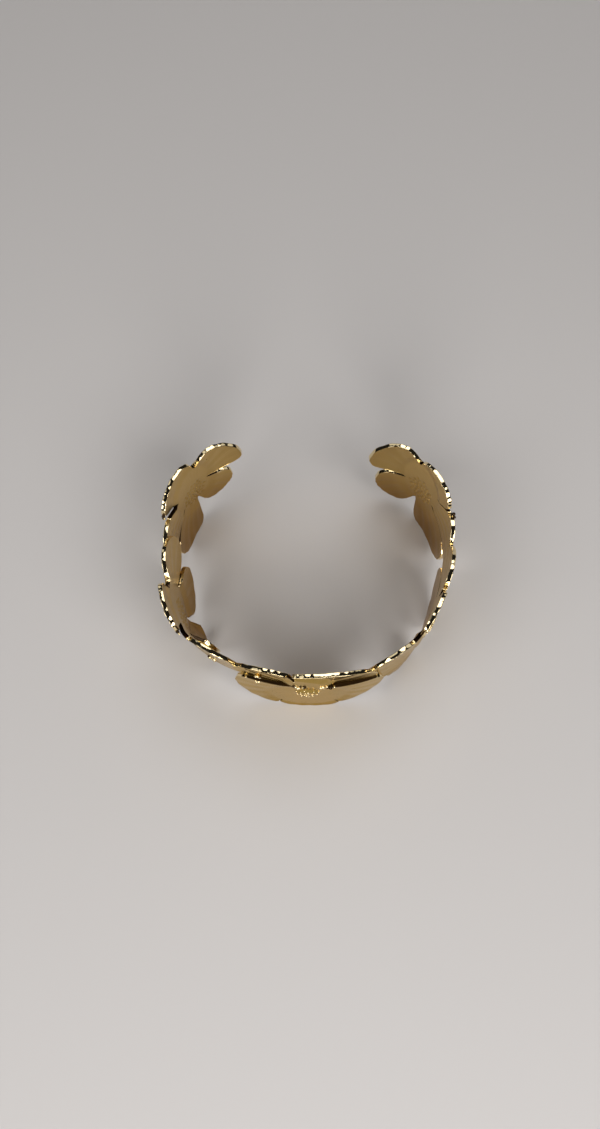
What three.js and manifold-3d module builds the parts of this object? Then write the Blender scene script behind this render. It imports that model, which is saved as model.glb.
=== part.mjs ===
// Flower cuff bangle: an open wrist band of five flowers, each one a sheet-metal blossom of five
// broad petals with a low stamen boss, soldered petal over petal into one piece.
// Millimetres. +Z is up along the wrist, the band stands on its lower petals at z = 0, the middle
// flower faces -Y and the open gap faces +Y. The origin is under the middle of the band.
import * as THREE from "three";
import { mergeVertices } from "three/addons/utils/BufferGeometryUtils.js";
import Module from "manifold-3d";

// Driving dimensions.
const SHEET = 1.0; // thickness of a petal
const REACH_ALONG = 16.5; // a flower's half width, along the band
const REACH_UP = 12.9; // a flower's half height
const STEP_LENGTH = 2.6; // how far out from the hub a petal takes to change layer
const FRONT = 27.7; // from the origin to the band's middle surface at the front
const BOSS = { radius: 2.9, height: 0.9 }; // low dome of stamens in a flower's middle
const FLOOR_CUT = 5; // depth of the block that trims the lowest petals level

// Mesh fineness.
const STEPS_ACROSS = 8; // quads across a petal
const HUB_ROWS = 2; // rings of quads in the hub
const PETAL_ROWS = 7; // rows of quads from the hub to a petal's tip
const ROUND_STEPS = 18;

// The plan of the band's middle surface, from the front round to each end, as tangent arcs. The
// band is bent by hand, so its left half turns more sharply beside the front than its right half.
const PLAN_SWEEPS = [30, 35, 30, 50, 35];
const PLAN_RADII = { left: [44, 12, 47, 20, 12], right: [35, 23, 44, 22, 12] };

// A short table: one object for each row, with the columns' names as its keys.
function table(columns, rows) {
  const names = columns.split(" ");
  return rows.map((row) => Object.fromEntries(row.map((value, i) => [names[i], value])));
}

// A slit between two petals lies on a straight line. angle: the line's direction in degrees, from
// the flower's centre, seen from outside with 0 to the right and 90 up. pass: how far the line
// passes the centre, to its left. from: how far from the centre the slit starts. gap: its width.
// flare: how fast it widens outwards.
// A petal lies between its slit and the next. reach: its length as a share of the flower's oval.
// side: how much of that length is left at its sides. skew: how much longer it is towards the
// next petal. layer: its step outwards from the hub. lift: how far its tip bends outwards.
// cup: how far its sides stand off its middle line.
const PETAL_COLUMNS = "angle pass from gap flare reach side skew layer lift cup";
const LEFT_END_PETALS = table(PETAL_COLUMNS, [
  [14, 0.8, 4.6, 0.7, 0, 1.06, 0.6, 0, -0.4, -0.2, -0.3],
  [80, 0, 9, 0.3, 0.1, 0.98, 0.76, 0.06, 0.3, 0, 0.2],
  [148, 0, 6.5, 0.25, 0, 1.2, 0.72, 0, -0.65, 0, 0.2],
  [200, 0, 5, 0.3, 0, 1.06, 0.76, 0, -0.4, -1, 0.9],
  [285, 0, 3, 0.4, 0.3, 0.67, 0.66, 0.04, -0.4, -0.3, 0.2],
]);
const LEFT_PETALS = table(PETAL_COLUMNS, [
  [-8, 0.8, 6.5, 0.3, 0, 1.12, 0.66, 0, -0.3, -0.3, -0.2],
  [64, 0, 8, 0.4, 0.1, 0.98, 0.74, 0, 0.35, 0.1, 0.2],
  [131, 0, 6, 0.4, 0, 1.4, 0.74, -0.05, -0.2, 0.2, 0.2],
  [196, 0, 5, 0.4, 0.1, 1.08, 0.6, 0.04, -0.5, -1.2, -0.4],
  [273, 0, 4.6, 0.4, 0.3, 0.93, 0.42, 0.12, -0.5, -0.9, 0.5],
]);
const FRONT_PETALS = table(PETAL_COLUMNS, [
  [-2, 4.4, 5.2, 0.25, 0, 1, 0.93, 0, -0.7, 0.6, 0.2],
  [107, 0, 9.5, 0.25, 0, 1.1, 0.76, 0.1, -0.5, 0.35, 0],
  [176, -4.4, 4.9, 0.25, 0, 1.01, 0.9, 0.04, 0.2, 0.2, 0],
  [240, 0, 11, 0.2, 0, 1.01, 0.94, 0.02, 0.1, 0.2, 0],
  [304, 0, 11, 0.2, 0, 1.03, 0.9, 0, 0.2, 0.15, 0],
]);
const RIGHT_PETALS = table(PETAL_COLUMNS, [
  [-8, 0.8, 5.5, 0.3, 0, 1.14, 0.66, 0, 0.2, 0, -0.2],
  [64, 0, 8, 0.4, 0.1, 0.98, 0.74, 0, 0.1, 0.1, 0.2],
  [131, 0, 6, 0.3, 0, 1.34, 0.76, 0, -0.4, 0.2, 0.2],
  [196, 0, 5, 0.4, 0.1, 1.04, 0.64, -0.1, -0.45, -0.2, -0.2],
  [266, 0, 4.6, 0.4, 0.2, 1.08, 0.6, 0.06, 0.1, -0.1, 0.2],
]);
const RIGHT_END_PETALS = table(PETAL_COLUMNS, [
  [5, -0.3, 4.8, 0.7, 0, 1.02, 0.62, 0.03, -0.4, -0.2, -0.3],
  [77, 0, 9, 0.3, 0.1, 0.96, 0.76, 0.06, -0.5, 0, 0.2],
  [145, 0, 6.5, 0.25, 0, 1.2, 0.72, 0, -0.4, 0, 0.2],
  [190, 0, 5, 0.3, 0, 1.14, 0.7, -0.06, -0.3, -0.4, 0.5],
  [281, 0, 4.2, 0.4, 0.3, 0.88, 0.66, -0.15, -0.4, -0.3, 0.2],
]);

// along: the flower's place on the plan, to the right of the front. height: its centre. side: -1
// turns the petals the other way round, for the left half. stand: how far the flower stands
// outwards. tilt: how far it leans outwards for each millimetre up. droop: the share of the
// petals' inward bend that it keeps.
const FLOWERS = table("along height side stand tilt droop petals", [
  [-64.4, 12.3, -1, 0, 0.08, 1, LEFT_END_PETALS],
  [-33, 12.3, -1, -1.8, 0.18, 1, LEFT_PETALS],
  [3.4, 12.3, 1, -0.4, 0.05, 1, FRONT_PETALS],
  [36.5, 12.3, 1, -0.6, 0.05, 1, RIGHT_PETALS],
  [71.2, 12.3, 1, 0, 0.06, 0.7, RIGHT_END_PETALS],
]);

const radians = THREE.MathUtils.degToRad;

// The point of the plan at a distance along it to the right of the front, and its way outwards.
function planAt(along) {
  const radii = along < 0 ? PLAN_RADII.left : PLAN_RADII.right;
  const sign = along < 0 ? -1 : 1;
  let left = Math.abs(along);
  let turn = 0;
  let centre = new THREE.Vector2(0, radii[0] - FRONT);
  let radius = radii[0];
  for (let i = 0; i < radii.length; i += 1) {
    const outwards = new THREE.Vector2(Math.sin(turn), -Math.cos(turn));
    centre = centre.clone().addScaledVector(outwards, radius - radii[i]);
    radius = radii[i];
    const length = radius * radians(PLAN_SWEEPS[i]);
    const last = i === radii.length - 1 || left <= length;
    turn += (last ? left : length) / radius;
    if (last) break;
    left -= length;
  }
  const outward = new THREE.Vector2(Math.sin(turn), -Math.cos(turn));
  const point = centre.addScaledVector(outward, radius);
  point.x *= sign;
  outward.x *= sign;
  return { point, outward };
}

// A point of the band: along it, up it, and outwards from its middle surface.
function bandPoint(along, up, out) {
  const { point, outward } = planAt(along);
  const place = point.addScaledVector(outward, out);
  return new THREE.Vector3(place.x, place.y, up);
}

// The angle at which a slit's line crosses a circle round the flower's centre.
function slitAngle(slit, radius) {
  return radians(slit.angle) + Math.asin(THREE.MathUtils.clamp(slit.pass / radius, -1, 1));
}

// Half the angle that a slit opens at a radius: none where it starts, its width and flare beyond.
function slitHalfAngle(slit, radius) {
  const beyond = Math.max(0, radius - slit.from);
  const opened = THREE.MathUtils.smoothstep(beyond, 0, 1);
  return ((slit.gap / 2 + slit.flare * beyond) * opened) / Math.max(radius, slit.from);
}

// A petal's outline: the flower's oval, rounded down towards the petal's two sides.
function petalReach(petal, across, angle) {
  const oval = 1 / Math.hypot(Math.cos(angle) / REACH_ALONG, Math.sin(angle) / REACH_UP);
  const sideways = 2 * across - 1;
  const rounded = petal.side + (1 - petal.side) * Math.sqrt(1 - Math.abs(sideways) ** 3);
  return petal.reach * oval * (1 + petal.skew * sideways) * rounded;
}

// The middle surface of a flower at a share across a petal and a row out from its centre.
function petalPoint(flower, petal, next, across, row) {
  const turn = next.angle < petal.angle ? 2 * Math.PI : 0;
  const from = radians(petal.angle);
  const to = radians(next.angle) + turn;
  const hub = THREE.MathUtils.lerp(petal.from, next.from, across);
  const reach = petalReach(petal, across, from + across * (to - from));
  const radius =
    row <= HUB_ROWS ? (hub * row) / HUB_ROWS : hub + ((reach - hub) * (row - HUB_ROWS)) / PETAL_ROWS;
  const low = slitAngle(petal, Math.max(radius, petal.from)) + slitHalfAngle(petal, radius);
  const high = slitAngle(next, Math.max(radius, next.from)) + turn - slitHalfAngle(next, radius);
  const angle = low + across * (high - low);
  const beyond = Math.max(0, radius - hub);
  const share = beyond / (reach - hub);
  const inward = petal.lift < 0 ? flower.droop : 1;
  const up = radius * Math.sin(angle);
  const out =
    flower.stand +
    flower.tilt * up +
    petal.layer * inward * THREE.MathUtils.smoothstep(beyond, 0, STEP_LENGTH) +
    petal.lift * inward * share ** 1.6 +
    petal.cup * share * ((2 * across - 1) ** 2 - 0.4);
  return { along: flower.along + flower.side * radius * Math.cos(angle), up: flower.height + up, out };
}

// A closed mesh from loose triangles, as a manifold-3d solid.
function solidFrom(wasm, points, flip) {
  const positions = new Float32Array(points.length * 3);
  points.forEach((p, i) => p.toArray(positions, i * 3));
  const loose = new THREE.BufferGeometry().setAttribute("position", new THREE.BufferAttribute(positions, 3));
  const merged = mergeVertices(loose, 1e-3);
  const corners = merged.index.array;
  const kept = [];
  for (let i = 0; i < corners.length; i += 3) {
    const [a, b, c] = [corners[i], corners[i + 1], corners[i + 2]];
    if (a !== b && b !== c && a !== c) kept.push(...(flip ? [a, c, b] : [a, b, c]));
  }
  const vertProperties = merged.attributes.position.array;
  return new wasm.Manifold(new wasm.Mesh({ numProp: 3, vertProperties, triVerts: new Uint32Array(kept) }));
}

// The corners of a geometry's triangles, one after another.
function pointsOf(geometry) {
  const position = geometry.getAttribute("position");
  const corner = (_, i) => new THREE.Vector3().fromBufferAttribute(position, i);
  return Array.from({ length: position.count }, corner);
}

// One flower's sheet: petals that share the hub and part along the slits, closed round every edge.
function flowerSheet(wasm, flower) {
  const points = [];
  const quad = (a, b, c, d) => points.push(a, b, c, a, c, d);
  const rows = HUB_ROWS + PETAL_ROWS;
  flower.petals.forEach((petal, k) => {
    const next = flower.petals[(k + 1) % flower.petals.length];
    const face = (out) => (column, row) => {
      const across = (1 - Math.cos((Math.PI * column) / STEPS_ACROSS)) / 2;
      const p = petalPoint(flower, petal, next, across, row);
      return bandPoint(p.along, p.up, p.out + out);
    };
    const outer = face(SHEET / 2);
    const inner = face(-SHEET / 2);
    for (let c = 0; c < STEPS_ACROSS; c += 1) {
      for (let r = 0; r < rows; r += 1) {
        quad(outer(c, r), outer(c, r + 1), outer(c + 1, r + 1), outer(c + 1, r));
        quad(inner(c, r), inner(c + 1, r), inner(c + 1, r + 1), inner(c, r + 1));
      }
      quad(outer(c, rows), inner(c, rows), inner(c + 1, rows), outer(c + 1, rows));
    }
    for (let r = HUB_ROWS; r < rows; r += 1) {
      quad(outer(0, r), inner(0, r), inner(0, r + 1), outer(0, r + 1));
      const side = STEPS_ACROSS;
      quad(outer(side, r), outer(side, r + 1), inner(side, r + 1), inner(side, r));
    }
  });
  return solidFrom(wasm, points, flower.side < 0);
}

// The low dome in a flower's middle, turned round an axis that points outwards.
function boss(wasm, flower) {
  const face = SHEET / 2;
  const turned = new THREE.LatheGeometry(
    [
      new THREE.Vector2(0, 0),
      new THREE.Vector2(BOSS.radius, 0),
      new THREE.Vector2(BOSS.radius, face),
      new THREE.Vector2(BOSS.radius * 0.6, face + BOSS.height * 0.8),
      new THREE.Vector2(0, face + BOSS.height),
    ],
    ROUND_STEPS,
  ).toNonIndexed();
  const centre = bandPoint(flower.along, flower.height, flower.stand);
  const ahead = bandPoint(flower.along, flower.height, flower.stand + 1).sub(centre);
  const lean = new THREE.Vector3(0, 0, -flower.tilt);
  const axis = ahead.add(lean).normalize();
  turned.applyQuaternion(new THREE.Quaternion().setFromUnitVectors(new THREE.Vector3(0, 1, 0), axis));
  turned.translate(centre.x, centre.y, centre.z);
  return solidFrom(wasm, pointsOf(turned), false);
}

// A block below z = 0 that levels the lowest petals, so that the band stands on flats.
function floorBlock(wasm) {
  const size = 4 * REACH_ALONG + 2 * FRONT;
  const block = new THREE.BoxGeometry(size, size, FLOOR_CUT).toNonIndexed();
  block.translate(0, 0, -FLOOR_CUT / 2);
  return solidFrom(wasm, pointsOf(block), false);
}

// A solid's triangles as a three.js geometry.
function geometryOf(solid) {
  const mesh = solid.getMesh();
  const geometry = new THREE.BufferGeometry();
  geometry.setAttribute("position", new THREE.BufferAttribute(new Float32Array(mesh.vertProperties), 3));
  geometry.setIndex(new THREE.BufferAttribute(new Uint32Array(mesh.triVerts), 1));
  geometry.computeVertexNormals();
  return geometry;
}

const wasm = await Module();
wasm.setup();

const flowers = FLOWERS.map((flower) => flowerSheet(wasm, flower).add(boss(wasm, flower)));
const soldered = flowers.reduce((whole, flower) => whole.add(flower)).subtract(floorBlock(wasm));
const { min, max } = soldered.boundingBox();
const centred = soldered.translate([-(min[0] + max[0]) / 2, -(min[1] + max[1]) / 2, 0]);

const gold = new THREE.MeshStandardMaterial({ color: 0xc9a765, roughness: 0.3, metalness: 1 });
const cuff = new THREE.Mesh(geometryOf(centred), gold);
cuff.name = "flower_cuff";

const bangle = new THREE.Group();
bangle.add(cuff);

export default bangle;
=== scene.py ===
"""A flower cuff bangle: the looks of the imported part, in metres, in the part's own frame."""

import logging
import math
from dataclasses import dataclass
from enum import Enum

import bpy
import numpy as np
from mathutils import Matrix, Vector


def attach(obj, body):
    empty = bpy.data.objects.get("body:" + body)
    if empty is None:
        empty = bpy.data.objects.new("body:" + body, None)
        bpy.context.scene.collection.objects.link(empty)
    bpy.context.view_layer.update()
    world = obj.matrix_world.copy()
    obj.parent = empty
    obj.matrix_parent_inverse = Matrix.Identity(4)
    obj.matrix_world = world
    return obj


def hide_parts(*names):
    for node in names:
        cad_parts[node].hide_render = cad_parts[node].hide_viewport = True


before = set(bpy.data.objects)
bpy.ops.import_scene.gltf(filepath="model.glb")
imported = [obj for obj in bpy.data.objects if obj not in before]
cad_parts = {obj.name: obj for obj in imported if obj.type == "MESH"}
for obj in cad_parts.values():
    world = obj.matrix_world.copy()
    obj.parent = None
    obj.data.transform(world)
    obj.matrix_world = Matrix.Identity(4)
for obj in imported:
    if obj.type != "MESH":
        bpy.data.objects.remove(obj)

log = logging.getLogger("bangle")

MM = 0.001
NODE = "flower_cuff"
GOLDEN_ANGLE = math.radians(137.5)


class Face(Enum):
    """The looks of the metal, by the side of the sheet it is on.

    The sides of a slit are painted near black as painted shade in the gap, and the sheet's other edges are
    bright.
    """

    OUTER = 0
    INNER = 1
    EDGE = 2
    SLIT_SHADE = 3


def smoothstep(x: np.ndarray, low: float, high: float) -> np.ndarray:
    """3 t^2 - 2 t^3 with t = (x - low) / (high - low) held between 0 and 1."""
    t = np.clip((x - low) / (high - low), 0, 1)
    return t * t * (3 - 2 * t)


def toward(azimuth: float, elevation: float) -> Vector:
    """Direction at degrees round from the front, towards the right, and degrees above the floor."""
    a, e = math.radians(azimuth), math.radians(elevation)
    return Vector((math.sin(a) * math.cos(e), -math.cos(a) * math.cos(e), math.sin(e)))


@dataclass(frozen=True)
class Plan:
    """The band seen from above: tangent arcs from the front round to each end, in millimetres.

    Attributes:
        front: from the plan's origin to the middle surface at the front.
        sweeps: degrees of each arc.
        left: radii of the arcs on the left half.
        right: radii of the arcs on the right half.
        shift: from the plan's origin to the part's origin, x and y.
    """

    front: float = 27.7
    sweeps: tuple[float, ...] = (30, 35, 30, 50, 35)
    left: tuple[float, ...] = (44, 12, 47, 20, 12)
    right: tuple[float, ...] = (35, 23, 44, 22, 12)
    shift: tuple[float, float] = (0.592, -0.042)

    def half(self, distance: np.ndarray, radii: tuple[float, ...]) -> tuple[np.ndarray, np.ndarray]:
        """Point and turn at a distance along one half.

        On the arc that holds the distance, the turn is the earlier arcs' sweeps plus the distance
        left over divided by the radius, and the point is the arc's centre plus the radius along the
        outward direction. Each centre is the one before, moved by the difference of the radii.

        Args:
            distance: millimetres from the front, not negative.
            radii: the half's arc radii.

        Returns:
            Points (..., 2) and outward directions (..., 2), for the right half.
        """
        turn = np.zeros_like(distance)
        points = np.zeros(distance.shape + (2,))
        centre = np.array([0.0, radii[0] - self.front])
        start, before = 0.0, 0.0
        for i, (radius, sweep) in enumerate(zip(radii, self.sweeps)):
            if i:
                outward = np.array([math.sin(before), -math.cos(before)])
                centre = centre + outward * (radii[i - 1] - radius)
            here = distance >= start
            angle = before + (distance - start) / radius
            turn = np.where(here, angle, turn)
            way = np.stack([np.sin(angle), -np.cos(angle)], -1)
            points = np.where(here[..., None], centre + radius * way, points)
            start += radius * math.radians(sweep)
            before += math.radians(sweep)
        return points, np.stack([np.sin(turn), -np.cos(turn)], -1)

    def place(self, along: np.ndarray, up: np.ndarray, out: np.ndarray) -> np.ndarray:
        """Points of the band in the part's frame.

        Args:
            along: millimetres along the band to the right of the front.
            up: height.
            out: millimetres outwards from the middle surface.

        Returns:
            Points (..., 3) in millimetres.
        """
        right, right_way = self.half(np.abs(along), self.right)
        left, left_way = self.half(np.abs(along), self.left)
        mirror = np.array([-1.0, 1.0])
        is_left = (along < 0)[..., None]
        point = np.where(is_left, left * mirror, right)
        way = np.where(is_left, left_way * mirror, right_way)
        flat = point + way * out[..., None] + np.array(self.shift)
        return np.concatenate([flat, up[..., None]], -1)


@dataclass(frozen=True)
class Petal:
    """One petal, and the slit before it.

    Attributes:
        angle: direction of the slit's line in degrees, seen from outside, 0 right and 90 up.
        passing: how far the line passes the flower's centre, to its left.
        start: how far from the centre the slit starts.
        gap: width of the slit.
        flare: how fast the slit widens outwards.
        reach: length of the petal as a share of the flower's oval.
        side: how much of that length is left at its sides.
        skew: how much longer it is towards the next petal.
        layer: step outwards from the hub.
        lift: how far its tip bends outwards.
        cup: how far its sides stand off its middle line.
    """

    angle: float
    passing: float
    start: float
    gap: float
    flare: float
    reach: float
    side: float
    skew: float
    layer: float
    lift: float
    cup: float


LEFT_END_PETALS = (
    Petal(14, 0.8, 4.6, 0.7, 0, 1.06, 0.6, 0, -0.4, -0.2, -0.3),
    Petal(80, 0, 9, 0.3, 0.1, 0.98, 0.76, 0.06, 0.3, 0, 0.2),
    Petal(148, 0, 6.5, 0.25, 0, 1.2, 0.72, 0, -0.65, 0, 0.2),
    Petal(200, 0, 4.4, 0.55, 0, 1.06, 0.76, 0, -0.4, -1, 0.9),
    Petal(285, 0, 3, 0.4, 0.3, 0.67, 0.66, 0.04, -0.4, -0.3, 0.2),
)
LEFT_PETALS = (
    Petal(-8, 0.8, 6.5, 0.3, 0, 1.12, 0.66, 0, -0.3, -0.3, -0.2),
    Petal(64, 0, 8, 0.4, 0.1, 0.98, 0.74, 0, 0.35, 0.1, 0.2),
    Petal(131, 0, 6, 0.4, 0, 1.4, 0.74, -0.05, -0.2, 0.2, 0.2),
    Petal(196, 0, 5, 0.4, 0.1, 1.08, 0.6, 0.04, -0.5, -1.2, -0.4),
    Petal(273, 0, 4.6, 0.4, 0.3, 0.93, 0.42, 0.12, -0.5, -0.9, 0.5),
)
FRONT_PETALS = (
    Petal(-2, 4.4, 5.2, 0.12, 0, 1, 0.93, 0, -0.7, 0.6, 0.2),
    Petal(107, 0, 9.5, 0.25, 0, 1.1, 0.76, 0.1, -0.5, 0.35, 0),
    Petal(176, -4.4, 4.9, 0.12, 0, 1.01, 0.9, 0.04, 0.2, 0.2, 0),
    Petal(240, 0, 11, 0.2, 0, 1.01, 0.94, 0.02, 0.1, 0.2, 0),
    Petal(304, 0, 11, 0.2, 0, 1.03, 0.9, 0, 0.2, 0.15, 0),
)
RIGHT_PETALS = (
    Petal(-8, 0.8, 5.5, 0.3, 0, 1.14, 0.66, 0, 0.2, 0, -0.2),
    Petal(64, 0, 8, 0.4, 0.1, 0.98, 0.74, 0, 0.1, 0.1, 0.2),
    Petal(131, 0, 6, 0.3, 0, 1.34, 0.76, 0, -0.4, 0.2, 0.2),
    Petal(196, 0, 5, 0.4, 0.1, 1.04, 0.64, -0.1, -0.45, -0.2, -0.2),
    Petal(266, 0, 4.6, 0.4, 0.2, 1.08, 0.6, 0.06, 0.1, -0.1, 0.2),
)
RIGHT_END_PETALS = (
    Petal(5, -0.3, 4.8, 0.7, 0, 1.02, 0.62, 0.03, -0.4, -0.2, -0.3),
    Petal(77, 0, 9, 0.3, 0.1, 0.96, 0.76, 0.06, -0.5, 0, 0.2),
    Petal(145, 0, 6.5, 0.25, 0, 1.2, 0.72, 0, -0.4, 0, 0.2),
    Petal(190, 0, 4.4, 0.55, 0, 1.14, 0.7, -0.06, -0.3, -0.4, 0.5),
    Petal(281, 0, 4.2, 0.4, 0.3, 0.88, 0.66, -0.15, -0.4, -0.3, 0.2),
)


@dataclass(frozen=True)
class Knot:
    """A few uneven beads soldered close together on a petal, in millimetres.

    Attributes:
        along: place along the band, from the flower's centre.
        up: height above the flower's centre.
        out: how far the petal stands outwards there.
        length: half the knot's length.
        height: half its height.
        count: number of beads.
    """

    along: float
    up: float
    out: float
    length: float
    height: float
    count: int


LEFT_END_KNOTS = (Knot(-10.9, 7.5, 0, 0.7, 0.6, 7),)
LEFT_KNOTS = (Knot(-7.2, 8.6, 0.3, 0.7, 0.6, 7), Knot(-13.4, -2.7, 0, 0.8, 0.7, 7))
FRONT_KNOTS = (
    Knot(-2.2, 4.4, 0, 1.7, 0.8, 12),
    Knot(3.9, 4.4, 0, 1.7, 0.8, 12),
    Knot(-10.7, 4.2, 0.3, 0.5, 0.5, 5),
    Knot(-10.6, 7.3, -0.1, 0.7, 0.5, 6),
)
RIGHT_END_KNOTS = (Knot(-12.1, 7.8, -0.3, 0.7, 0.6, 7),)


@dataclass(frozen=True)
class FlowerPlace:
    """Where one flower sits on the band and how it leans, in millimetres.

    Attributes:
        name: piece name.
        along: place on the plan, to the right of the front.
        height: height of the centre.
        side: -1 turns the petals the other way round, for the left half.
        stand: how far the flower stands outwards.
        tilt: outward lean for each millimetre up.
        droop: share of the petals' inward bend that it keeps.
        petals: its five petals.
        seed: seed of its small unevenness.
        knots: the knots of beads on its petals.
    """

    name: str
    along: float
    height: float
    side: int
    stand: float
    tilt: float
    droop: float
    petals: tuple[Petal, ...]
    seed: int
    knots: tuple[Knot, ...] = ()


@dataclass(frozen=True)
class Scallops:
    """The small uneven scallops along a petal's outline.

    Attributes:
        depth: their depth, in millimetres.
        length: length of one, in millimetres.
        softness: how rounded the notches between them are.
        level: the part of the wave that is taken off, so that the mean outline stays.
        wander: how far their spacing wanders, and how fast along the outline.
        sway: height of the slow unevenness, and how fast it changes along the outline.
    """

    depth: float = 0.17
    length: float = 2.4
    softness: float = 0.03
    level: float = 0.7
    wander: tuple[float, float] = (0.9, 0.31)
    sway: tuple[float, float] = (0.8, 0.23)

    def rise(self, arc: np.ndarray, phase: float) -> np.ndarray:
        """Height of the scallops along an outline.

        depth (sqrt(sin(t + phase + w sin(v t))^2 + softness) - level + a sin(b t + 3 phase)), with
        t = pi arc / length, w and v the two values of wander, and a and b those of sway.

        Args:
            arc: millimetres along the outline.
            phase: where the scallops start.

        Returns:
            Millimetres beyond the mean outline.
        """
        t = arc / self.length * math.pi
        wander, wander_speed = self.wander
        sway, sway_speed = self.sway
        bumps = np.sqrt(np.sin(t + phase + wander * np.sin(wander_speed * t)) ** 2 + self.softness)
        slow = sway * np.sin(sway_speed * t + 3 * phase)
        return self.depth * (bumps - self.level + slow)


@dataclass(frozen=True)
class SheetSize:
    """Sizes that every flower's sheet shares, in millimetres.

    Attributes:
        thickness: metal thickness.
        reach_along: half width of the flower's oval along the band.
        reach_up: half height of the flower's oval.
        step_length: how far out from the hub a petal takes to change layer.
        boss_radius: radius of the raised middle.
        boss_height: height of the raised middle.
        boss_flat: share of its radius that is flat.
        edge_radius: how far in from a cut edge the face starts to fall away.
        edge_power: squareness of the cut edge, 2 for a half round.
        edge_share: a face thinner than this share of the thickness belongs to the cut edge.
        trim: how much shorter a petal's mean outline is than its oval, to leave room for scallops.
        scallops: the scallops along a petal's outline.
        lift_power: how late a petal's tip bends, 1 for a straight petal.
        cup_level: the part of the cup that is taken off, so that the petal's mean place stays.
        crease: depth of the soft veins along a petal.
        crease_start: share of the way out from the hub by which they are at full depth.
        crease_shift: how far they move across with the petal's phase.
        veins: number of half waves of veins across a petal.
        pit: depth of the pits behind the stamens.
        pit_count: number of pits.
        pit_spread: radius of the patch they cover.
        pit_width: width of a pit.
    """

    thickness: float = 0.92
    reach_along: float = 16.5
    reach_up: float = 12.9
    step_length: float = 2.6
    boss_radius: float = 2.9
    boss_height: float = 0.5
    boss_flat: float = 0.55
    edge_radius: float = 0.18
    edge_power: float = 6
    edge_share: float = 0.97
    trim: float = 0.2
    scallops: Scallops = Scallops()
    lift_power: float = 1.6
    cup_level: float = 0.4
    crease: float = 0.04
    crease_start: float = 0.4
    crease_shift: float = 0.6
    veins: int = 9
    pit: float = 0.3
    pit_count: int = 36
    pit_spread: float = 3.6
    pit_width: float = 0.24

    def boss_rise(self, radius: np.ndarray) -> np.ndarray:
        """Height of the raised middle: boss_height (1 - smoothstep from its flat top to its foot)."""
        flat = self.boss_flat * self.boss_radius
        return self.boss_height * (1 - smoothstep(radius, flat, self.boss_radius))


@dataclass(frozen=True)
class SheetSteps:
    """Mesh fineness of a petal: columns across, rows out, and steps round a cut edge."""

    middle: int = 64
    hub: int = 24
    petal: int = 24
    edge: int = 4


class MeshParts:
    """Gathers grids of quads, joins points equal to DECIMALS places, and makes one mesh object."""

    DECIMALS = 4

    def __init__(self) -> None:
        """Starts empty."""
        self.points: list[np.ndarray] = []
        self.faces: list[np.ndarray] = []
        self.looks: list[np.ndarray] = []
        self.maps: list[np.ndarray] = []
        self.count = 0

    def add_points(self, points: np.ndarray, uv: np.ndarray) -> np.ndarray:
        """Adds points and returns their numbers in the shape of the grid.

        Args:
            points: (..., 3) in millimetres.
            uv: (..., 2) map coordinates.

        Returns:
            An integer array with the points' numbers.
        """
        shape = points.shape[:-1]
        total = int(np.prod(shape))
        self.points.append(points.reshape(-1, 3))
        self.maps.append(uv.reshape(-1, 2))
        numbers = np.arange(self.count, self.count + total).reshape(shape)
        self.count += total
        return numbers

    def add_grid(self, numbers: np.ndarray, looks: np.ndarray, flip: bool) -> None:
        """Adds the quads of a grid of point numbers.

        Args:
            numbers: (rows, columns) point numbers.
            looks: (rows - 1, columns - 1) Face values.
            flip: True turns the faces over.
        """
        a, b = numbers[:-1, :-1], numbers[1:, :-1]
        c, d = numbers[1:, 1:], numbers[:-1, 1:]
        quads = np.stack([a, d, c, b] if flip else [a, b, c, d], -1).reshape(-1, 4)
        self.faces.append(quads)
        self.looks.append(looks.reshape(-1))

    def build(self, name: str, materials: list[bpy.types.Material]) -> bpy.types.Object:
        """Joins equal points, drops collapsed faces, and makes the object.

        Args:
            name: the object's name.
            materials: one material for each Face value.

        Returns:
            The linked mesh object, in metres.
        """
        points = np.concatenate(self.points)
        keys = np.round(points, self.DECIMALS)
        _, first, back = np.unique(keys, axis=0, return_index=True, return_inverse=True)
        back = back.reshape(-1)
        corners = np.concatenate(self.faces)
        quads = back[corners]
        looks = np.concatenate(self.looks)
        uv = np.concatenate(self.maps)
        same = quads == np.roll(quads, -1, axis=1)
        keep = same.sum(1) <= 1
        quads, same, looks, corners = quads[keep], same[keep], looks[keep], corners[keep]
        used = ~same
        loops = quads[used]
        loop_uv = uv[corners[used]]
        totals = used.sum(1)
        starts = np.concatenate([[0], np.cumsum(totals)[:-1]])
        mesh = bpy.data.meshes.new(name)
        mesh.vertices.add(len(first))
        mesh.vertices.foreach_set("co", (points[first] * MM).astype(np.float32).reshape(-1))
        mesh.loops.add(len(loops))
        mesh.loops.foreach_set("vertex_index", loops.astype(np.int32))
        mesh.polygons.add(len(totals))
        mesh.polygons.foreach_set("loop_start", starts.astype(np.int32))
        mesh.polygons.foreach_set("loop_total", totals.astype(np.int32))
        for material in materials:
            mesh.materials.append(material)
        mesh.polygons.foreach_set("material_index", looks.astype(np.int32))
        layer = mesh.uv_layers.new(name="petal")
        layer.data.foreach_set("uv", loop_uv.astype(np.float32).reshape(-1))
        mesh.update(calc_edges=True)
        mesh.validate()
        mesh.polygons.foreach_set("use_smooth", np.ones(len(mesh.polygons), bool))
        thing = bpy.data.objects.new(name, mesh)
        bpy.context.scene.collection.objects.link(thing)
        return thing


@dataclass(frozen=True)
class PetalGrid:
    """The middle surface of one petal, as arrays of (rows, columns).

    Attributes:
        along: millimetres along the band.
        up: height in millimetres.
        out: millimetres outwards from the band's middle surface.
        thick: share of the full thickness.
        radius: distance from the flower's centre.
        angle: direction from the flower's centre.
        uv: map coordinates, across the petal and out from the centre.
    """

    along: np.ndarray
    up: np.ndarray
    out: np.ndarray
    thick: np.ndarray
    radius: np.ndarray
    angle: np.ndarray
    uv: np.ndarray


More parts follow.
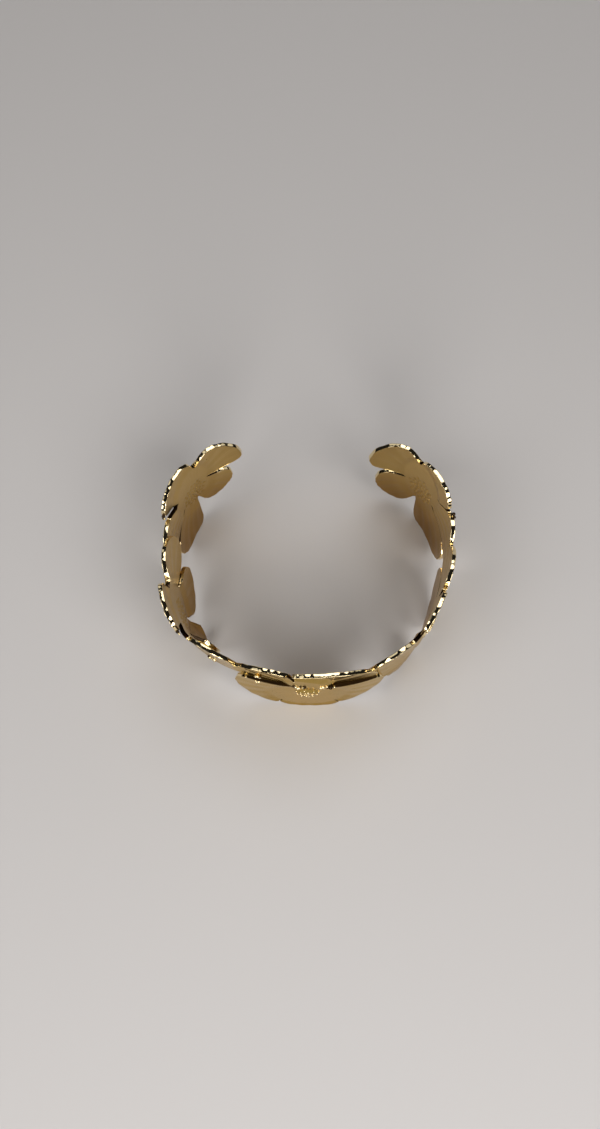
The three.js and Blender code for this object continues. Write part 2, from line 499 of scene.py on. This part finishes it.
class Flower:
    """One flower of the cuff: a sheet of five petals that part along slits from a shared hub.

    PHASES bounds each petal's random phase, and LEAST keeps divisors off zero.
    """

    PHASES = (0, 6)
    LEAST = 1e-6

    def __init__(self, place: FlowerPlace, plan: Plan, size: SheetSize, steps: SheetSteps) -> None:
        """Keeps the flower's place, the band's plan, the sheet's sizes and the mesh steps."""
        self.place = place
        self.plan = plan
        self.size = size
        self.steps = steps
        self.random = np.random.default_rng(place.seed)

    def slit_angle(self, petal: Petal, radius: np.ndarray) -> np.ndarray:
        """Angle where a slit's line crosses a circle: angle + asin(passing / radius)."""
        return math.radians(petal.angle) + np.arcsin(np.clip(petal.passing / radius, -1, 1))

    @staticmethod
    def full_turn(petal: Petal, after: Petal) -> float:
        """A full turn where the next petal's angle starts again from zero, and otherwise none."""
        return 2 * math.pi if after.angle < petal.angle else 0.0

    def slit_half(self, petal: Petal, radius: np.ndarray) -> np.ndarray:
        """Half the angle a slit opens: (gap / 2 + flare b) smoothstep(b, 0, 1) / radius.

        Args:
            petal: the petal after the slit.
            radius: distances from the flower's centre, b millimetres beyond the slit's start.

        Returns:
            Radians at each distance.
        """
        beyond = np.maximum(0, radius - petal.start)
        width = petal.gap / 2 + petal.flare * beyond
        return width * smoothstep(beyond, 0, 1) / np.maximum(radius, petal.start)

    def reach(self, petal: Petal, across: np.ndarray, angle: np.ndarray, phase: float) -> np.ndarray:
        """Length of a petal, in millimetres from the flower's centre.

        The oval's radius 1 / hypot(cos / reach_along, sin / reach_up), times reach, times
        1 + skew s, times side + (1 - side) sqrt(1 - |s|^3), with s = 2 across - 1, less the trim,
        plus the outline's small scallops, and no longer than down to the surface it stands on.

        Args:
            petal: the petal.
            across: share across the petal.
            angle: direction in radians.
            phase: where its scallops start.

        Returns:
            The length at each place.
        """
        size = self.size
        oval = 1 / np.hypot(np.cos(angle) / size.reach_along, np.sin(angle) / size.reach_up)
        s = 2 * across - 1
        rounded = petal.side + (1 - petal.side) * np.sqrt(np.maximum(0, 1 - np.abs(s) ** 3))
        length = petal.reach * oval * (1 + petal.skew * s) * rounded
        length = length - size.trim + size.scallops.rise(angle * size.reach_up, phase)
        ground = self.place.height / np.maximum(-np.sin(angle), self.LEAST)
        return np.minimum(length, ground)

    def edge_profile(self) -> tuple[np.ndarray, np.ndarray]:
        """The rounded cut edge: edge_radius (1 - cos^p) and sin^p over a quarter turn, p = 2 / edge_power.

        Returns:
            Distance in from the cut and share of the full thickness, for each edge step.
        """
        turn = np.linspace(0, math.pi / 2, self.steps.edge + 1)
        power = 2 / self.size.edge_power
        inset = self.size.edge_radius * (1 - np.cos(turn) ** power)
        return inset, np.sin(turn) ** power

    def bend(
        self, petal: Petal, across: np.ndarray, beyond: np.ndarray, share: np.ndarray, phase: float
    ) -> np.ndarray:
        """How far a petal bends outwards from the flower's leaning middle plane.

        layer smoothstep(beyond, 0, step_length) + lift share^lift_power
        + cup share ((2 across - 1)^2 - cup_level), plus the veins: crease times
        sin(veins pi across + crease_shift phase) sin(pi across) smoothstep(share, 0, crease_start).

        Args:
            petal: the petal.
            across: share across the petal.
            beyond: distance beyond the hub.
            share: share of the way from the hub to the outline.
            phase: where its veins start.

        Returns:
            Millimetres outwards.
        """
        size = self.size
        inward = self.place.droop if petal.lift < 0 else 1.0
        veins = np.sin(size.veins * math.pi * across + size.crease_shift * phase) * np.sin(math.pi * across)
        return (
            petal.layer * inward * smoothstep(beyond, 0, size.step_length)
            + petal.lift * inward * share**size.lift_power
            + petal.cup * share * ((2 * across - 1) ** 2 - size.cup_level)
            + size.crease * veins * smoothstep(share, 0, size.crease_start)
        )

    def petal_rows(
        self, petal: Petal, after: Petal, columns: np.ndarray, reach: np.ndarray
    ) -> tuple[np.ndarray, np.ndarray, np.ndarray]:
        """Distances of a petal's rows from the centre.

        They go evenly from the centre to the hub's edge, which runs straight from one slit's start to
        the next one's, evenly on to the rounded tip, and round the tip to the outline.

        Args:
            petal: the petal.
            after: the next petal.
            columns: share across the petal of each column.
            reach: length of the petal at each column.

        Returns:
            Distances (rows, columns), the hub's edge (columns) and share of thickness (rows).
        """
        size, steps = self.size, self.steps
        inset, rounded = self.edge_profile()
        root = petal.start + (after.start - petal.start) * columns
        hub = np.linspace(0, 1, steps.hub + 1)[:, None] * root
        rows = np.linspace(0, 1, steps.petal + 1)[1:, None]
        body = root + (reach - size.edge_radius - root) * rows
        tip = reach - inset[::-1][1:, None]
        thick = np.concatenate([np.ones(len(hub) + len(body)), rounded[::-1][1:]])
        return np.concatenate([hub, body, tip]), root, thick

    def petal_angles(
        self, petal: Petal, after: Petal, columns: np.ndarray, radius: np.ndarray, split: np.ndarray
    ) -> tuple[np.ndarray, np.ndarray]:
        """Directions of a petal's points, between the slits on its two sides.

        The columns beside a slit follow its rounded edge, the others keep their share across.

        Args:
            petal: the petal.
            after: the next petal.
            columns: share across the petal of each column.
            radius: distances from the centre (rows, columns).
            split: whether each row is beyond the hub (rows, 1).

        Returns:
            Angles in radians and shares across (rows, columns).
        """
        wrap = self.full_turn(petal, after)
        inset, _ = self.edge_profile()
        count = len(inset)
        low = self.slit_angle(petal, np.maximum(radius, petal.start)) + self.slit_half(petal, radius)
        high = self.slit_angle(after, np.maximum(radius, after.start)) + wrap - self.slit_half(after, radius)
        around = np.maximum(radius, self.LEAST)
        rim = np.where(split, self.size.edge_radius / around, 0.0)
        first = low[:, :count] + np.where(split, inset / around[:, :count], 0.0)
        last = high[:, -count:] - np.where(split, inset[::-1] / around[:, -count:], 0.0)
        between = low + rim + (high - low - 2 * rim) * columns
        angle = np.concatenate([first, between[:, count:-count], last], 1)
        return angle, (angle - low) / (high - low)

    def petal_grid(self, k: int) -> PetalGrid:
        """Middle surface of one petal, with its thickness.

        Columns go across between the two slits, closer together near them, and rows go out from the
        centre to the outline. It stands outwards by stand + tilt up plus its bend.

        Args:
            k: number of the petal.

        Returns:
            The grid.
        """
        size, place, steps = self.size, self.place, self.steps
        petal = place.petals[k]
        after = place.petals[(k + 1) % len(place.petals)]
        phase = self.random.uniform(*self.PHASES)
        _, rounded = self.edge_profile()
        even = np.linspace(0, 1, steps.middle + 1)[1:-1]
        middle = (1 - np.cos(math.pi * even)) / 2
        columns = np.concatenate([np.zeros(len(rounded)), middle, np.ones(len(rounded))])
        side_thick = np.concatenate([rounded, np.ones(len(middle)), rounded[::-1]])

        wrap = self.full_turn(petal, after)
        start, end = math.radians(petal.angle), math.radians(after.angle) + wrap
        reach = self.reach(petal, columns, start + columns * (end - start), phase)
        radius, root, row_thick = self.petal_rows(petal, after, columns, reach)
        split = np.arange(len(radius))[:, None] > steps.hub
        angle, across = self.petal_angles(petal, after, columns, radius, split)
        beyond = np.maximum(0, radius - root)
        up = radius * np.sin(angle)
        bend = self.bend(petal, across, beyond, beyond / (reach - root), phase)
        return PetalGrid(
            along=place.along + place.side * radius * np.cos(angle),
            up=place.height + up,
            out=place.stand + place.tilt * up + bend,
            thick=np.where(split, side_thick, 1.0) * row_thick[:, None],
            radius=radius,
            angle=angle,
            uv=np.stack([k + across, radius / size.reach_along], -1),
        )

    def pits(self, grid: PetalGrid) -> np.ndarray:
        """Share of the full pit depth at each point of a petal's grid.

        Pit n is a round bell of width pit_width at radius pit_spread sqrt(n / pit_count) and angle
        137.5 n degrees, and the share is the tallest of the bells.

        Args:
            grid: the petal's grid.

        Returns:
            The share at each point.
        """
        size = self.size
        x, y = grid.radius * np.cos(grid.angle), grid.radius * np.sin(grid.angle)
        n = np.arange(size.pit_count) + 0.5
        distance = size.pit_spread * np.sqrt(n / size.pit_count)
        turn = n * GOLDEN_ANGLE
        away = (x[..., None] - distance * np.cos(turn)) ** 2 + (y[..., None] - distance * np.sin(turn)) ** 2
        return np.exp(-away.min(-1) / (2 * size.pit_width**2))

    def cut_looks(self, rows: int, columns: int) -> np.ndarray:
        """The look each face of a petal has where it is cut: painted dark as painted shade beside a slit,
        bright at its outline.

        Args:
            rows: faces from the centre to the outline.
            columns: faces across the petal.

        Returns:
            Face values (rows, columns).
        """
        step = self.steps.edge
        across = np.arange(columns)
        beside = (across < step) | (across >= columns - step)
        inside = np.arange(rows)[:, None] < rows - step
        return np.where(beside & inside, Face.SLIT_SHADE.value, Face.EDGE.value)

    def build(self, materials: list[bpy.types.Material]) -> bpy.types.Object:
        """Makes the flower's closed sheet.

        Each side is the middle surface moved by half the thickness, and a small triangle closes the
        sheet where a slit starts.

        Args:
            materials: one material for each Face value.

        Returns:
            The flower's object.
        """
        size, hub = self.size, self.steps.hub
        parts = MeshParts()
        turned = self.place.side < 0
        for k in range(len(self.place.petals)):
            grid = self.petal_grid(k)
            thick = grid.thick
            half = size.thickness / 2 * thick
            up = np.maximum(grid.up, 0)
            over = self.plan.place(grid.along, up, grid.out + half + size.boss_rise(grid.radius))
            under = self.plan.place(grid.along, up, grid.out - half + size.pit * self.pits(grid) * thick)
            top = parts.add_points(over, grid.uv)
            bottom = parts.add_points(under, grid.uv)
            mean_thick = (thick[1:, 1:] + thick[:-1, :-1] + thick[1:, :-1] + thick[:-1, 1:]) / 4
            is_cut = mean_thick < size.edge_share
            cut = self.cut_looks(*mean_thick.shape)
            parts.add_grid(top, np.where(is_cut, cut, Face.OUTER.value), turned)
            parts.add_grid(bottom, np.where(is_cut, cut, Face.INNER.value), not turned)
            for column, flip in ((0, not turned), (-1, turned)):
                # The small triangle where a slit starts gets the slit's painted shade too.
                root = np.array([[top[hub, column], bottom[hub, column]], [top[hub + 1, column]] * 2])
                parts.add_grid(root, np.array([[Face.SLIT_SHADE.value]]), flip)
        return parts.build(self.place.name, materials)


@dataclass(frozen=True)
class BeadSize:
    """The beads soldered to a flower, in millimetres.

    Attributes:
        count: number of stamens in the middle.
        spread: radius of the patch they cover.
        stamen: radius of a stamen.
        stamen_range: least and greatest size of one, as a share of that.
        stamen_seed: added to the flower's seed for them.
        knot_bead: radius of a bead in a knot.
        knot_range: least and greatest size of one, as a share of that.
        knot_shade_share: share of a knot's beads painted dark as painted shade between the beads.
        knot_seed: added to the flower's seed for the knots.
        rounds: faces round a bead.
        levels: faces from pole to pole.
    """

    count: int = 20
    spread: float = 2.6
    stamen: float = 0.22
    stamen_range: tuple[float, float] = (0.75, 1.1)
    stamen_seed: int = 50
    knot_bead: float = 0.4
    knot_range: tuple[float, float] = (0.5, 1.1)
    knot_shade_share: float = 0.4
    knot_seed: int = 70
    rounds: int = 8
    levels: int = 6


@dataclass(frozen=True)
class Beads:
    """Small beads on the outside of a flower.

    Attributes:
        name: piece name.
        place: the flower.
        along: distances from its centre along the band.
        up: distances above its centre.
        out: distances outwards from its leaning middle plane.
        radius: radii.
        shade_painted: whether each is painted dark as painted shade between the beads.
    """

    name: str
    place: FlowerPlace
    along: np.ndarray
    up: np.ndarray
    out: np.ndarray
    radius: np.ndarray
    shade_painted: np.ndarray

    def build(self, plan: Plan, size: BeadSize, materials: list[bpy.types.Material]) -> bpy.types.Object:
        """Makes all the beads as one object.

        Each bead is a sphere with polar angle and turn as its two coordinates.

        Args:
            plan: the band's plan.
            size: gives the mesh fineness.
            materials: one material for each Face value.

        Returns:
            The beads' object.
        """
        polar = np.linspace(0, math.pi, size.levels + 1)[:, None, None]
        turn = np.linspace(0, 2 * math.pi, size.rounds + 1)[None, :, None]
        side = self.radius * np.sin(polar)
        place = self.place
        along = place.along + place.side * self.along + side * np.cos(turn)
        up = place.height + self.up + side * np.sin(turn)
        out = place.stand + place.tilt * self.up + self.out + self.radius * np.cos(polar)
        points = plan.place(*np.broadcast_arrays(along, up, out))
        parts = MeshParts()
        numbers = parts.add_points(points, np.zeros(points.shape[:-1] + (2,)))
        for bead, shade_painted in enumerate(self.shade_painted):
            # Painted shade: the marked beads take the dark slit finish, standing for shade between the
            # beads.
            look = Face.SLIT_SHADE if shade_painted else Face.EDGE
            parts.add_grid(numbers[:, :, bead], np.full((size.levels, size.rounds), look.value), False)
        return parts.build(self.name, materials)


def stamens(place: FlowerPlace, sheet: SheetSize, size: BeadSize) -> Beads:
    """The granular middle of a flower.

    Bead n sits at radius spread sqrt(n / count) and angle 137.5 n degrees, on the raised middle.

    Args:
        place: the flower.
        sheet: its sheet's sizes.
        size: the beads' sizes.

    Returns:
        The beads.
    """
    random = np.random.default_rng(place.seed + size.stamen_seed)
    n = np.arange(size.count) + 0.5
    radius = size.spread * np.sqrt(n / size.count)
    turn = n * GOLDEN_ANGLE
    out = sheet.thickness / 2 + sheet.boss_rise(radius)
    bead = size.stamen * random.uniform(*size.stamen_range, size.count)
    along, up = radius * np.cos(turn), radius * np.sin(turn)
    shade_painted = np.zeros(size.count, dtype=bool)
    return Beads(f"stamens_{place.name}", place, along, up, out, bead, shade_painted)


def knots(place: FlowerPlace, sheet: SheetSize, size: BeadSize) -> Beads:
    """The knots of uneven beads on a flower's petals, some painted dark as painted shade between them.

    Each bead lies at its knot's place plus a random part of the knot's length and height.

    Args:
        place: the flower.
        sheet: its sheet's sizes.
        size: the beads' sizes.

    Returns:
        The beads.
    """
    random = np.random.default_rng(place.seed + size.knot_seed)
    number = [knot.count for knot in place.knots]
    count = sum(number)

    def each(name: str) -> np.ndarray:
        """One size of the knots, repeated for each of their beads."""
        return np.repeat([getattr(knot, name) for knot in place.knots], number)

    along = each("along") + each("length") * random.uniform(-1, 1, count)
    up = each("up") + each("height") * random.uniform(-1, 1, count)
    bead = size.knot_bead * random.uniform(*size.knot_range, count)
    shade_painted = random.uniform(0, 1, count) < size.knot_shade_share
    return Beads(f"knots_{place.name}", place, along, up, each("out") + sheet.thickness / 2, bead, shade_painted)


@dataclass(frozen=True)
class GoldFinish:
    """A look of the gold-coloured metal.

    Attributes:
        name: the material's name.
        color: linear base colour of the upper half.
        floor_shade_color: linear base colour near the floor, darker as painted shade where less light
            reaches near the floor.
        roughness: low and high roughness.
        grain: depth of the fine unevenness, in millimetres.
        grain_scale: fineness of the unevenness, per metre.
        streak: depth of the veins that run out along each petal, in millimetres.
        graze: tint of what is mirrored at a low angle.
        shade_heights: heights in millimetres between which the painted shade near the floor gives way to
            color.
        patch: how far soft patches shift that, as a share.
        patch_scale: fineness of the patches, per metre.
        vein_scale: fineness of the veins, across a petal and out along it.
        details: octaves of the unevenness, the patches and the veins.
    """

    name: str
    color: tuple[float, float, float]
    floor_shade_color: tuple[float, float, float]
    roughness: tuple[float, float]
    grain: float
    grain_scale: float
    streak: float
    graze: tuple[float, float, float] = (1.0, 1.0, 1.0)
    shade_heights: tuple[float, float] = (3, 17)
    patch: float = 0.3
    patch_scale: float = 120
    vein_scale: tuple[float, float, float] = (34, 1.5, 1)
    details: tuple[float, float, float] = (3, 2, 2)

    @staticmethod
    def noise(
        tree: bpy.types.NodeTree, source: bpy.types.NodeSocket, scale: float, detail: float
    ) -> bpy.types.NodeSocket:
        """Adds a noise.

        Args:
            tree: the material's nodes.
            source: the place it reads.
            scale: its fineness.
            detail: its octaves.

        Returns:
            Its value's socket.
        """
        node = tree.nodes.new("ShaderNodeTexNoise")
        node.inputs["Scale"].default_value = scale
        node.inputs["Detail"].default_value = detail
        tree.links.new(source, node.inputs["Vector"])
        return node.outputs["Fac"]

    @staticmethod
    def span(
        tree: bpy.types.NodeTree, source: bpy.types.NodeSocket, low: float, high: float
    ) -> bpy.types.NodeSocket:
        """Adds a range from low to high.

        Args:
            tree: the material's nodes.
            source: a value between 0 and 1.
            low: what 0 becomes.
            high: what 1 becomes.

        Returns:
            The new value's socket.
        """
        node = tree.nodes.new("ShaderNodeMapRange")
        node.inputs["To Min"].default_value = low
        node.inputs["To Max"].default_value = high
        tree.links.new(source, node.inputs["Value"])
        return node.outputs["Result"]

    def painted_shade_color(self, tree: bpy.types.NodeTree, place: bpy.types.NodeSocket) -> bpy.types.NodeSocket:
        """Adds the base colour: painted shade near the floor, going over to color by smoothstep of the
        height, plus soft patches.

        Args:
            tree: the material's nodes.
            place: Object coordinates.

        Returns:
            The colour's socket.
        """
        axes = tree.nodes.new("ShaderNodeSeparateXYZ")
        tree.links.new(place, axes.inputs["Vector"])
        # Painted shade: the base colour darkens towards the floor, by height.
        height = tree.nodes.new("ShaderNodeMapRange")
        height.interpolation_type = "SMOOTHSTEP"
        height.inputs["From Min"].default_value = self.shade_heights[0] * MM
        height.inputs["From Max"].default_value = self.shade_heights[1] * MM
        tree.links.new(axes.outputs["Z"], height.inputs["Value"])
        patches = self.noise(tree, place, self.patch_scale, self.details[1])
        shade_and_patches = tree.nodes.new("ShaderNodeMath")
        shade_and_patches.operation = "ADD"
        shade_and_patches.use_clamp = True
        tree.links.new(height.outputs["Result"], shade_and_patches.inputs[0])
        tree.links.new(self.span(tree, patches, -self.patch, self.patch), shade_and_patches.inputs[1])
        blend = tree.nodes.new("ShaderNodeMix")
        blend.data_type = "RGBA"
        blend.inputs["A"].default_value = (*self.floor_shade_color, 1)
        blend.inputs["B"].default_value = (*self.color, 1)
        tree.links.new(shade_and_patches.outputs["Value"], blend.inputs["Factor"])
        return blend.outputs["Result"]

    def relief(
        self, tree: bpy.types.NodeTree, petal: bpy.types.NodeSocket, grain: bpy.types.NodeSocket
    ) -> bpy.types.NodeSocket:
        """Adds the fine relief: veins on the petal's own map, and the unevenness on top.

        Args:
            tree: the material's nodes.
            petal: map coordinates.
            grain: the unevenness.

        Returns:
            The normal's socket.
        """
        stretch = tree.nodes.new("ShaderNodeMapping")
        stretch.inputs["Scale"].default_value = self.vein_scale
        tree.links.new(petal, stretch.inputs["Vector"])
        veins = tree.nodes.new("ShaderNodeBump")
        veins.inputs["Distance"].default_value = self.streak * MM
        source = self.noise(tree, stretch.outputs["Vector"], 1.0, self.details[2])
        tree.links.new(source, veins.inputs["Height"])
        fine = tree.nodes.new("ShaderNodeBump")
        fine.inputs["Distance"].default_value = self.grain * MM
        tree.links.new(grain, fine.inputs["Height"])
        tree.links.new(veins.outputs["Normal"], fine.inputs["Normal"])
        return fine.outputs["Normal"]

    def build(self) -> bpy.types.Material:
        """Makes the material: rubbed colour, roughness that follows the unevenness, and relief.

        Returns:
            The material.
        """
        material = bpy.data.materials.new(self.name)
        material.use_nodes = True
        tree = material.node_tree
        shader = tree.nodes["Principled BSDF"]
        shader.inputs["Metallic"].default_value = 1.0
        shader.inputs["Specular Tint"].default_value = (*self.graze, 1)
        place = tree.nodes.new("ShaderNodeTexCoord").outputs
        grain = self.noise(tree, place["Object"], self.grain_scale, self.details[0])
        tree.links.new(self.span(tree, grain, *self.roughness), shader.inputs["Roughness"])
        tree.links.new(self.painted_shade_color(tree, place["Object"]), shader.inputs["Base Color"])
        tree.links.new(self.relief(tree, place["UV"], grain), shader.inputs["Normal"])
        return material


# Each finish's colour near the floor is painted shade, darker where less light reaches; the inner one is
# darkest.
FINISHES: dict[Face, GoldFinish] = {
    Face.OUTER: GoldFinish(
        name="gold_outer",
        color=(0.49, 0.34, 0.09),
        floor_shade_color=(0.46, 0.31, 0.08),
        roughness=(0.14, 0.24),
        grain=0.03,
        grain_scale=260,
        streak=0.02,
        graze=(0.99, 0.90, 0.74),
    ),
    Face.INNER: GoldFinish(
        name="gold_inner",
        color=(0.64, 0.44, 0.16),
        floor_shade_color=(0.40, 0.23, 0.07),
        roughness=(0.24, 0.38),
        grain=0.04,
        grain_scale=420,
        streak=0.05,
    ),
    Face.EDGE: GoldFinish(
        name="gold_edge",
        color=(0.90, 0.74, 0.44),
        floor_shade_color=(0.85, 0.66, 0.36),
        roughness=(0.04, 0.10),
        grain=0.04,
        grain_scale=900,
        streak=0.0,
    ),
    # Painted shade: the slit sides are near black and their low-angle mirroring is dimmed, standing for the
    # shade in the gaps.
    Face.SLIT_SHADE: GoldFinish(
        name="gold_slit_shade",
        color=(0.045, 0.028, 0.016),
        floor_shade_color=(0.04, 0.025, 0.014),
        roughness=(0.30, 0.45),
        grain=0.02,
        grain_scale=900,
        streak=0.0,
        graze=(0.20, 0.14, 0.09),
    ),
}


@dataclass(frozen=True)
class PaperFinish:
    """The plain pale floor."""

    name: str = "floor_pale"
    color: tuple[float, float, float] = (0.50, 0.475, 0.46)
    roughness: float = 0.9

    def build(self) -> bpy.types.Material:
        """Makes the floor's material.

        Returns:
            The material.
        """
        material = bpy.data.materials.new(self.name)
        material.use_nodes = True
        shader = material.node_tree.nodes["Principled BSDF"]
        shader.inputs["Base Color"].default_value = (*self.color, 1)
        shader.inputs["Roughness"].default_value = self.roughness
        return material


@dataclass(frozen=True)
class LampSize:
    """One soft lamp: where it is, what size, and how strong.

    Attributes:
        name: the lamp's name.
        azimuth: degrees round from the front, towards the right.
        elevation: degrees above the floor.
        distance: metres from the middle.
        size: metres across.
        power: watts.
        color: light colour.
    """

    name: str
    azimuth: float
    elevation: float
    distance: float
    size: float
    power: float
    color: tuple[float, float, float] = (1, 1, 1)


LAMPS = (
    LampSize("key", 172, 60, 0.9, 0.6, 2.0),
    LampSize("low_left", -146, 32, 0.9, 0.4, 0.25),
    LampSize("low_right", 146, 32, 0.9, 0.4, 0.25),
    LampSize("left_window", -100, 56, 0.9, 0.4, 0.3),
    LampSize("side", 50, 42, 0.65, 0.4, 2.0),
    LampSize("other_side", -50, 42, 0.65, 0.4, 1.5),
    LampSize("front", 8, 24, 0.5, 0.28, 1.6),
)


@dataclass(frozen=True)
class Studio:
    """Floor, lamps and surroundings.

    Attributes:
        lamps: the lamps.
        floor: the floor's finish.
        floor_half: half the floor's side, in metres.
        glow: brightness of the surroundings.
        glow_color: their colour.
    """

    lamps: tuple[LampSize, ...] = LAMPS
    floor: PaperFinish = PaperFinish()
    floor_half: float = 0.9
    glow: float = 0.014
    glow_color: tuple[float, float, float] = (0.95, 0.97, 1.0)

    def build_floor(self) -> None:
        """Makes the floor, a square at the height the cuff stands on."""
        half = self.floor_half
        mesh = bpy.data.meshes.new("floor")
        corners = [(-half, -half, 0), (half, -half, 0), (half, half, 0), (-half, half, 0)]
        mesh.from_pydata(corners, [], [(0, 1, 2, 3)])
        mesh.materials.append(self.floor.build())
        thing = bpy.data.objects.new("floor", mesh)
        bpy.context.scene.collection.objects.link(thing)

    def build_lamps(self) -> None:
        """Makes the lamps, each aimed at the middle of the cuff."""
        for lamp in self.lamps:
            data = bpy.data.lights.new(lamp.name, "AREA")
            data.shape = "DISK"
            data.size = lamp.size
            data.energy = lamp.power
            data.color = lamp.color
            thing = bpy.data.objects.new(lamp.name, data)
            way = toward(lamp.azimuth, lamp.elevation)
            thing.location = way * lamp.distance
            thing.rotation_euler = way.to_track_quat("Z", "Y").to_euler()
            bpy.context.scene.collection.objects.link(thing)

    def build_world(self) -> None:
        """Makes plain surroundings."""
        world = bpy.data.worlds.new("surroundings")
        world.use_nodes = True
        background = world.node_tree.nodes["Background"]
        background.inputs["Color"].default_value = (*self.glow_color, 1)
        background.inputs["Strength"].default_value = self.glow
        bpy.context.scene.world = world

    def build(self) -> None:
        """Makes the floor, the lamps and the surroundings."""
        self.build_floor()
        self.build_lamps()
        self.build_world()


@dataclass(frozen=True)
class CameraPlace:
    """The camera, in millimetres and degrees.

    Attributes:
        elevation: angle above the floor.
        azimuth: turn round the cuff from the front.
        distance: from the aim point.
        aim: the point it looks at, in the part's frame.
        roll: turn of the camera about its own axis, to the left.
        lens: focal length.
        sensor: width of the sensor.
        clip: nearest and farthest distance it sees.
    """

    elevation: float = 67.5
    azimuth: float = 4.584
    distance: float = 223.3
    aim: tuple[float, float, float] = (-1.052, 1.442, 11.9)
    roll: float = 2.2
    lens: float = 31.89
    sensor: float = 36
    clip: tuple[float, float] = (10, 10000)

    def build(self) -> None:
        """Makes the scene's camera."""
        data = bpy.data.cameras.new("camera")
        data.lens = self.lens
        data.sensor_width = self.sensor
        data.clip_start, data.clip_end = self.clip[0] * MM, self.clip[1] * MM
        a = math.radians(self.azimuth)
        back = toward(self.azimuth, self.elevation)
        side = Vector((math.cos(a), math.sin(a), 0))
        up = back.cross(side)
        r = math.radians(self.roll)
        right = side * math.cos(r) + up * math.sin(r)
        top = up * math.cos(r) - side * math.sin(r)
        turn = Matrix((right, top, back)).transposed().to_4x4()
        thing = bpy.data.objects.new("camera", data)
        place = (Vector(self.aim) + back * self.distance) * MM
        thing.matrix_world = Matrix.Translation(place) @ turn
        bpy.context.scene.collection.objects.link(thing)
        bpy.context.scene.camera = thing


@dataclass(frozen=True)
class Cuff:
    """The whole cuff: five flowers, soldered petal over petal.

    Attributes:
        plan: the band seen from above.
        sheet: sizes of the flowers' sheets.
        steps: mesh fineness of a petal.
        beads: sizes of the beads.
        places: the flowers, from the left end to the right end.
    """

    plan: Plan = Plan()
    sheet: SheetSize = SheetSize()
    steps: SheetSteps = SheetSteps()
    beads: BeadSize = BeadSize()
    places: tuple[FlowerPlace, ...] = (
        FlowerPlace("left_end_flower", -64.4, 12.3, -1, 0, 0.08, 1, LEFT_END_PETALS, 3, LEFT_END_KNOTS),
        FlowerPlace("left_flower", -33, 12.3, -1, -1.8, 0.18, 1, LEFT_PETALS, 5, LEFT_KNOTS),
        FlowerPlace("front_flower", 3.4, 12.3, 1, -0.4, 0.05, 1, FRONT_PETALS, 8, FRONT_KNOTS),
        FlowerPlace("right_flower", 36.5, 12.3, 1, -0.6, 0.05, 1, RIGHT_PETALS, 13),
        FlowerPlace("right_end_flower", 71.2, 12.3, 1, 0, 0.06, 0.7, RIGHT_END_PETALS, 21, RIGHT_END_KNOTS),
    )

    def build(self, materials: list[bpy.types.Material]) -> None:
        """Builds every flower and its beads and puts them on the frame.

        Args:
            materials: one material for each Face value.
        """
        for place in self.places:
            things = [Flower(place, self.plan, self.sheet, self.steps).build(materials)]
            groups = [stamens(place, self.sheet, self.beads)]
            if place.knots:
                groups.append(knots(place, self.sheet, self.beads))
            things += [group.build(self.plan, self.beads, materials) for group in groups]
            for thing in things:
                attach(thing, "root")
                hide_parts(NODE)
                log.info("%s has %d faces", thing.name, len(thing.data.polygons))


def main() -> None:
    """Builds the cuff, the studio and the camera."""
    logging.basicConfig(level=logging.INFO)
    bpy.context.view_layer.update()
    Cuff().build([FINISHES[face].build() for face in Face])
    Studio().build()
    bpy.context.scene.view_settings.view_transform = "Standard"
    CameraPlace().build()


if __name__ == "__main__":
    main()
